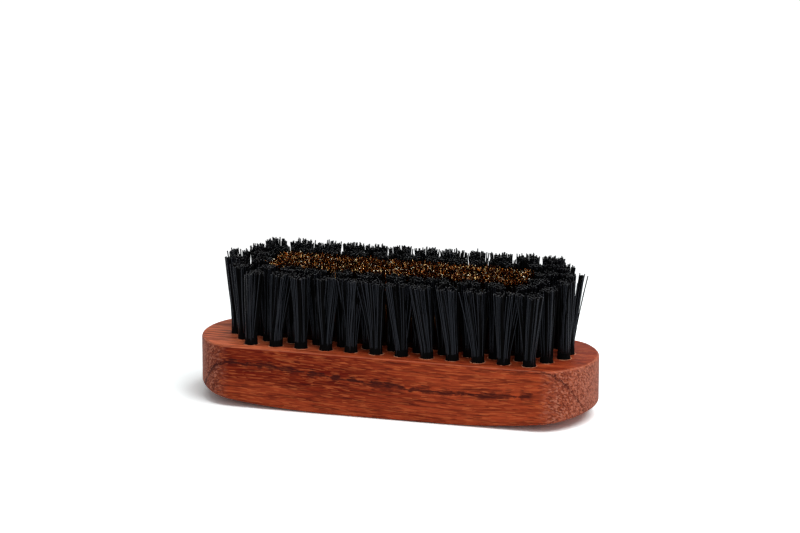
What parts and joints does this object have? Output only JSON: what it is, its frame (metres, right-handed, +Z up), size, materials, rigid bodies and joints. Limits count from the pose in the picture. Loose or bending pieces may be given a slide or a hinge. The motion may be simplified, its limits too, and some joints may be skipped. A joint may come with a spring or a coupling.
{
  "type": "suede brush",
  "caption": "Small hardwood brush for suede and nubuck, with a dense border of black nylon tufts round a core of crimped brass wire tufts.",
  "frame": {"origin": "middle of the footprint, on the plane that the back of the wooden block lies on", "axes": "+X along the block towards its right end, +Y across it towards the back row of tufts, +Z up from the wood to the bristle tips"},
  "size_m": [0.12, 0.036, 0.0433],
  "materials": {
    "wood": "oiled red-brown hardwood, satin",
    "nylon": "black nylon filaments, satin",
    "brass_wire": "crimped brass wire, bright",
    "anchor_metal": "plain flat anchor wire"
  },
  "bodies": {
    "root": {"block": "wood", "nylon_row_1": "nylon", "nylon_row_2": "nylon", "nylon_row_3_left": "nylon", "brass_row_3": "brass_wire", "nylon_row_3_right": "nylon", "nylon_row_4_left": "nylon", "brass_row_4": "brass_wire", "nylon_row_4_right": "nylon", "nylon_row_5": "nylon", "nylon_row_6": "nylon", "anchors_row_1": "anchor_metal", "anchors_row_2": "anchor_metal", "anchors_row_3_left": "anchor_metal", "anchors_row_3_middle": "anchor_metal", "anchors_row_3_right": "anchor_metal", "anchors_row_4_left": "anchor_metal", "anchors_row_4_middle": "anchor_metal", "anchors_row_4_right": "anchor_metal", "anchors_row_5": "anchor_metal", "anchors_row_6": "anchor_metal"}
  },
  "joints": []
}
